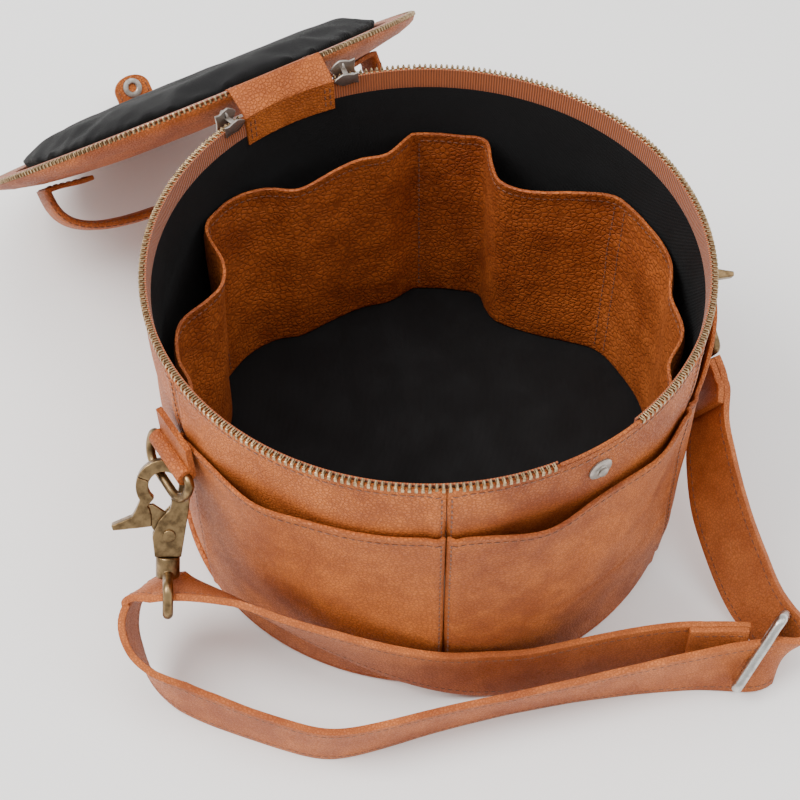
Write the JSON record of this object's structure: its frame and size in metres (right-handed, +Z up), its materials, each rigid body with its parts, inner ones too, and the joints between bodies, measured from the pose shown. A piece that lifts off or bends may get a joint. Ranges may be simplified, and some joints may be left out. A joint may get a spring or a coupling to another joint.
{
  "type": "knitting bag",
  "caption": "Round leather knitting bag with a padded zip lid folded back on its hinge, inner pocket band, top handle and a shoulder strap on trigger snap hooks.",
  "frame": {"origin": "middle of the base on the surface it stands on", "axes": "+Z up, -Y towards the snap stud at the front, +Y towards the lid's hinge"},
  "size_m": [0.3264, 0.5125, 0.162],
  "materials": {
    "leather": "pebbled, satin",
    "pocket_leather": "pebbled, satin",
    "strap_leather": "pebbled, stitched edges",
    "board": "stiff board, hidden",
    "black_twill": "twill with a slight sheen",
    "interlining": "hidden",
    "foam": "soft padding, hidden",
    "zip_tape": "woven tape",
    "antique_brass": "aged",
    "press_stud": "gunmetal plate",
    "gunmetal": "satin dark plate",
    "bronze_hardware": "antique bronze plate",
    "nickel": "bright plate"
  },
  "bodies": {
    "root": {"front_panel": "leather", "front_right_panel": "leather", "back_right_panel": "leather", "back_panel": "leather", "back_left_panel": "leather", "front_left_panel": "leather", "slip_pocket_front": "leather", "slip_pocket_right": "leather", "slip_pocket_left": "leather", "base_piping": "leather", "base_panel": "leather", "base_board": "board", "base_lining": "black_twill", "wall_interlining": "interlining", "wall_lining": "black_twill", "rim_zip_tape": "zip_tape", "rim_zip_teeth": "antique_brass", "front_facing": "leather", "hinge_leather_lower": "leather", "inner_pocket_front": "pocket_leather", "inner_pocket_right": "pocket_leather", "inner_pocket_back_right": "pocket_leather", "inner_pocket_back": "pocket_leather", "inner_pocket_back_left": "pocket_leather", "inner_pocket_left": "pocket_leather", "snap_stud": "press_stud", "ring_tabs": "leather", "hook_swivel_left": "bronze_hardware", "hook_swivel_right": "bronze_hardware", "shoulder_strap": "strap_leather", "strap_folds": "strap_leather", "slide_buckle": "nickel"},
    "lid": {"lid_cover": "leather", "lid_wadding": "foam", "lid_board": "board", "lid_pad": "foam", "lid_lining": "black_twill", "lid_zip_tape": "zip_tape", "lid_zip_teeth": "antique_brass", "lid_front_facing": "leather", "hinge_leather_upper": "leather", "snap_tab_root": "leather", "handle_anchors": "leather"},
    "snap_tab": {"snap_tab": "leather", "snap_socket": "press_stud", "snap_cap": "press_stud"},
    "handle": {"carry_handle": "leather"},
    "slider_left": {"zip_slider_left": "gunmetal"},
    "slider_right": {"zip_slider_right": "gunmetal"},
    "pull_left": {"slider_pull_left": "gunmetal"},
    "pull_right": {"slider_pull_right": "gunmetal"},
    "ring_left": {"d_ring_left": "bronze_hardware"},
    "ring_right": {"d_ring_right": "bronze_hardware"},
    "hook_left": {"snap_hook_left": "bronze_hardware", "hook_pin_left": "bronze_hardware"},
    "hook_right": {"snap_hook_right": "bronze_hardware", "hook_pin_right": "bronze_hardware"},
    "gate_left": {"hook_gate_left": "bronze_hardware"},
    "gate_right": {"hook_gate_right": "bronze_hardware"}
  },
  "joints": [
    {"name": "lid_hinge", "type": "hinge", "parent": "root", "child": "lid", "pos_m": [0, 0.1215, 0.16], "axis": [1, 0, 0], "range_deg": [0, 221]},
    {"name": "snap_tab_flex", "type": "hinge", "parent": "lid", "child": "snap_tab", "pos_m": [0, 0.31106, 0.00275], "axis": [1, 0, 0], "range_deg": [-45, 0]},
    {"name": "handle_swing", "type": "hinge", "parent": "lid", "child": "handle", "pos_m": [0, 0.20768, 0.07395], "axis": [1, 0, 0], "range_deg": [-12, 12], "stiffness_Nm_per_rad": 0.15},
    {"name": "zip_travel_left", "type": "hinge", "parent": "root", "child": "slider_left", "pos_m": [0, 0, 0.155], "axis": [0, 0, 1], "range_deg": [0, 153]},
    {"name": "zip_travel_right", "type": "hinge", "parent": "root", "child": "slider_right", "pos_m": [0, 0, 0.155], "axis": [0, 0, 1], "range_deg": [-153, 0]},
    {"name": "pull_lift_left", "type": "hinge", "parent": "slider_left", "child": "pull_left", "pos_m": [-0.03147, 0.11994, 0.1553], "axis": [0.9673, 0.2538, 0], "range_deg": [0, 40]},
    {"name": "pull_lift_right", "type": "hinge", "parent": "slider_right", "child": "pull_right", "pos_m": [0.03147, 0.11994, 0.1553], "axis": [0.9673, -0.2538, 0], "range_deg": [0, 40]},
    {"name": "ring_swing_left", "type": "hinge", "parent": "root", "child": "ring_left", "pos_m": [-0.12695, 0, 0.104], "axis": [0, 1, 0], "range_deg": [-7, 1]},
    {"name": "ring_swing_right", "type": "hinge", "parent": "root", "child": "ring_right", "pos_m": [0.12695, 0, 0.104], "axis": [0, 1, 0], "range_deg": [-2, 5]},
    {"name": "hook_swivel_left", "type": "hinge", "parent": "root", "child": "hook_left", "pos_m": [-0.13182, -0.00191, 0.08928], "axis": [-0.3795, -0.4993, -0.7789], "range_deg": [-8, 2]},
    {"name": "gate_left", "type": "hinge", "parent": "hook_left", "child": "gate_left", "pos_m": [-0.13954, -0.01287, 0.07247], "axis": [-0.2878, -0.7364, 0.6123], "range_deg": [0, 25], "stiffness_Nm_per_rad": 0.02, "springref_deg": -11.46},
    {"name": "hook_swivel_right", "type": "hinge", "parent": "root", "child": "hook_right", "pos_m": [0.13073, -0.01505, 0.09252], "axis": [-0.2396, -0.8386, -0.4892], "range_deg": [-8, 2]},
    {"name": "gate_right", "type": "hinge", "parent": "hook_right", "child": "gate_right", "pos_m": [0.1251, -0.03292, 0.08196], "axis": [0.2064, 0.4483, -0.8697], "range_deg": [0, 25], "stiffness_Nm_per_rad": 0.02, "springref_deg": -11.46}
  ]
}
